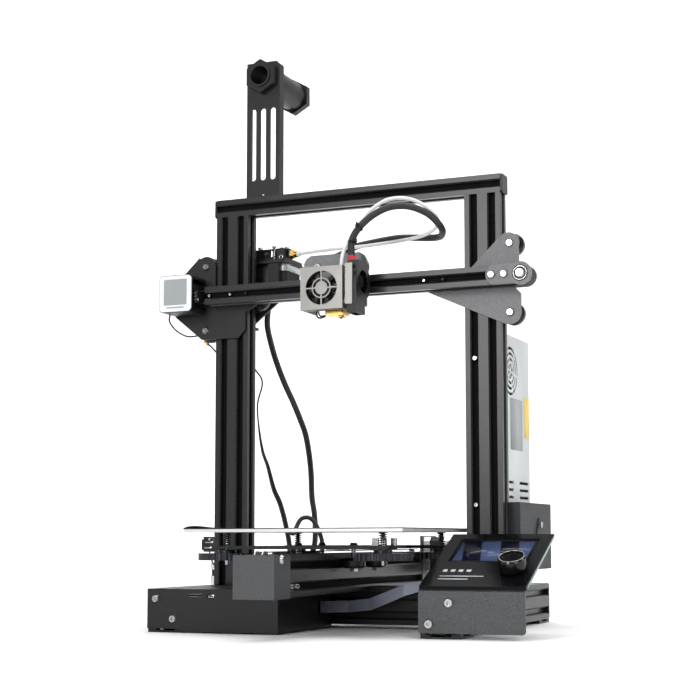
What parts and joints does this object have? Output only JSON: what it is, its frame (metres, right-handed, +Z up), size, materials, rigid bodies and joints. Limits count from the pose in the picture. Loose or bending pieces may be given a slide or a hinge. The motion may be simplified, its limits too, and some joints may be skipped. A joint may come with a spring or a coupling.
{
  "type": "fdm printer",
  "caption": "Open-frame filament 3-D printer: black profile portal, sliding bed, belt-driven tool carriage on a lead-screw beam, tilted display, rear power supply and top spool arm.",
  "frame": {"origin": "on the surface it stands on, midway between the two uprights, at their front faces", "axes": "+X to the right seen from the front, +Y to the back, +Z up"},
  "size_m": [0.4548, 0.4461, 0.636],
  "materials": {
    "profile": "black anodised, satin",
    "black_steel": "black powder coat, fine texture",
    "grey_steel": "dark grey powder coat, fine texture",
    "box_steel": "black powder coat, fine texture",
    "bare_steel": "bright",
    "zinc": "zinc plated",
    "psu_steel": "galvanised sheet",
    "alu": "satin",
    "shroud": "brushed",
    "black_plastic": "matte",
    "knob_plastic": "satin",
    "cover_plastic": "dark grey powder coat",
    "wheel": "satin black",
    "board": "solder mask",
    "panel": "gloss",
    "belt": "matte",
    "brass": "turned",
    "tube": "translucent white",
    "braid": "braided sleeve",
    "wire": "matte",
    "ribbon": "satin",
    "sheet": "matte"
  },
  "bodies": {
    "frame": {"base_beams": "profile", "bed_beam": "profile", "uprights": "profile", "top_bar": "profile", "end_caps": "black_plastic", "feet": "black_plastic", "spool_plate": "black_steel", "spool_arm": "black_plastic", "electronics_box": "box_steel", "circuit_boards": "board", "psu_case": "psu_steel", "psu_cover": "cover_plastic", "mains_inlet": "black_plastic", "lcd_bracket": "grey_steel", "lcd_panel": "panel", "frame_motors": "black_steel", "bed_beam_brackets": "grey_steel", "bed_belt": "belt", "frame_screws": "zinc", "ribbon_cable": "ribbon", "side_cables": "wire", "bed_cable": "wire"},
    "lead_screw_body": {"lead_screw": "bare_steel"},
    "bed_pulley_body": {"bed_pulley": "alu"},
    "bed_idler_body": {"bed_idler": "alu"},
    "psu_fan": {"psu_fan_rotor": "black_plastic"},
    "psu_rocker": {"psu_switch": "black_plastic"},
    "encoder": {"encoder_stem": "bare_steel"},
    "encoder_knob": {"lcd_knob": "black_plastic"},
    "gantry": {"tool_beam": "profile", "left_plate": "black_steel", "right_plate": "grey_steel", "x_drive_box": "black_plastic", "gantry_motors": "black_steel", "extruder_body": "black_plastic", "x_belt": "belt", "gantry_screws": "zinc", "gantry_wheels": "wheel", "filament_tube": "tube", "tool_harness": "braid"},
    "x_pulley_body": {"x_pulley": "alu"},
    "x_idler_body": {"x_idler": "bare_steel"},
    "extruder_drive": {"extruder_gear": "brass"},
    "extruder_arm": {"extruder_lever": "black_plastic"},
    "tool_carriage": {"carriage_plate": "grey_steel", "hotend": "brass", "fan_shroud": "shroud", "blower_case": "black_plastic", "tool_wheels": "wheel"},
    "hotend_fan": {"hotend_fan_rotor": "black_plastic"},
    "part_blower": {"blower_rotor": "black_plastic"},
    "bed": {"bed_carriage": "black_steel", "bed_springs": "bare_steel", "heated_bed": "alu", "magnetic_sheet": "sheet", "bed_wheels": "wheel"},
    "level_front_left": {"knob_front_left": "knob_plastic"},
    "level_front_right": {"knob_front_right": "knob_plastic"},
    "level_back_left": {"knob_back_left": "knob_plastic"},
    "level_back_right": {"knob_back_right": "knob_plastic"}
  },
  "joints": [
    {"name": "gantry_slide", "type": "slide", "parent": "frame", "child": "gantry", "axis": [0, 0, 1], "range_m": [-0.219, 0.03], "deforming": ["side_cables"]},
    {"name": "tool_slide", "type": "slide", "parent": "gantry", "child": "tool_carriage", "axis": [1, 0, 0], "range_m": [-0.115, 0.105], "deforming": ["filament_tube", "tool_harness"]},
    {"name": "bed_slide", "type": "slide", "parent": "frame", "child": "bed", "axis": [0, 1, 0], "range_m": [-0.11, 0.1], "deforming": ["bed_cable"]},
    {"name": "lead_screw_turn", "type": "hinge", "parent": "frame", "child": "lead_screw_body", "pos_m": [-0.164, 0.0415, 0.2], "axis": [0, 0, 1], "continuous": true},
    {"name": "x_pulley_turn", "type": "hinge", "parent": "gantry", "child": "x_pulley_body", "pos_m": [-0.197, -0.014, 0.365], "axis": [0, 1, 0], "continuous": true},
    {"name": "x_idler_turn", "type": "hinge", "parent": "gantry", "child": "x_idler_body", "pos_m": [0.1965, -0.014, 0.365], "axis": [0, 1, 0], "continuous": true},
    {"name": "bed_pulley_turn", "type": "hinge", "parent": "frame", "child": "bed_pulley_body", "pos_m": [0, 0.184, 0.075], "axis": [1, 0, 0], "continuous": true},
    {"name": "bed_idler_turn", "type": "hinge", "parent": "frame", "child": "bed_idler_body", "pos_m": [0, -0.222, 0.075], "axis": [1, 0, 0], "continuous": true},
    {"name": "psu_fan_turn", "type": "hinge", "parent": "frame", "child": "psu_fan", "pos_m": [0.148, 0.0645, 0.275], "axis": [1, 0, 0], "continuous": true},
    {"name": "psu_rocker_tilt", "type": "hinge", "parent": "frame", "child": "psu_rocker", "pos_m": [0.137, 0.137, 0.0802], "axis": [1, 0, 0], "range_deg": [0, 8]},
    {"name": "encoder_push", "type": "slide", "parent": "frame", "child": "encoder", "axis": [0, -0.433, 0.9014], "range_m": [-0.001, 0], "stiffness_N_per_m": 800, "springref_m": 0.0005},
    {"name": "encoder_turn", "type": "hinge", "parent": "encoder", "child": "encoder_knob", "pos_m": [0.2125, -0.11608, 0.06633], "axis": [0, -0.433, 0.9014], "continuous": true},
    {"name": "extruder_gear_turn", "type": "hinge", "parent": "gantry", "child": "extruder_drive", "pos_m": [-0.118, 0.056, 0.41], "axis": [0, 0, 1], "continuous": true},
    {"name": "extruder_lever_tilt", "type": "hinge", "parent": "gantry", "child": "extruder_arm", "pos_m": [-0.133, 0.0414, 0.415], "axis": [0, 0, -1], "range_deg": [0, 6], "stiffness_Nm_per_rad": 0.5, "springref_deg": -5.73},
    {"name": "hotend_fan_turn", "type": "hinge", "parent": "tool_carriage", "child": "hotend_fan", "pos_m": [-0.006, -0.07, 0.35575], "axis": [0, 1, 0], "continuous": true},
    {"name": "part_blower_turn", "type": "hinge", "parent": "tool_carriage", "child": "part_blower", "pos_m": [0.024, -0.0505, 0.363], "axis": [1, 0, 0], "continuous": true},
    {"name": "level_front_left_turn", "type": "hinge", "parent": "bed", "child": "level_front_left", "pos_m": [-0.085, -0.1275, 0.0765], "axis": [0, 0, 1], "range_deg": [-360, 360]},
    {"name": "level_front_right_turn", "type": "hinge", "parent": "bed", "child": "level_front_right", "pos_m": [0.085, -0.1275, 0.0765], "axis": [0, 0, 1], "range_deg": [-360, 360]},
    {"name": "level_back_left_turn", "type": "hinge", "parent": "bed", "child": "level_back_left", "pos_m": [-0.085, 0.0425, 0.0765], "axis": [0, 0, 1], "range_deg": [-360, 360]},
    {"name": "level_back_right_turn", "type": "hinge", "parent": "bed", "child": "level_back_right", "pos_m": [0.085, 0.0425, 0.0765], "axis": [0, 0, 1], "range_deg": [-360, 360]}
  ],
  "couplings": [
    {"joint": "lead_screw_turn", "follows": "gantry_slide", "rad_per_m": -785.4},
    {"joint": "x_pulley_turn", "follows": "tool_slide", "rad_per_m": 144.93},
    {"joint": "x_idler_turn", "follows": "tool_slide", "rad_per_m": 144.93},
    {"joint": "bed_pulley_turn", "follows": "bed_slide", "rad_per_m": -144.93},
    {"joint": "bed_idler_turn", "follows": "bed_slide", "rad_per_m": -144.93}
  ]
}
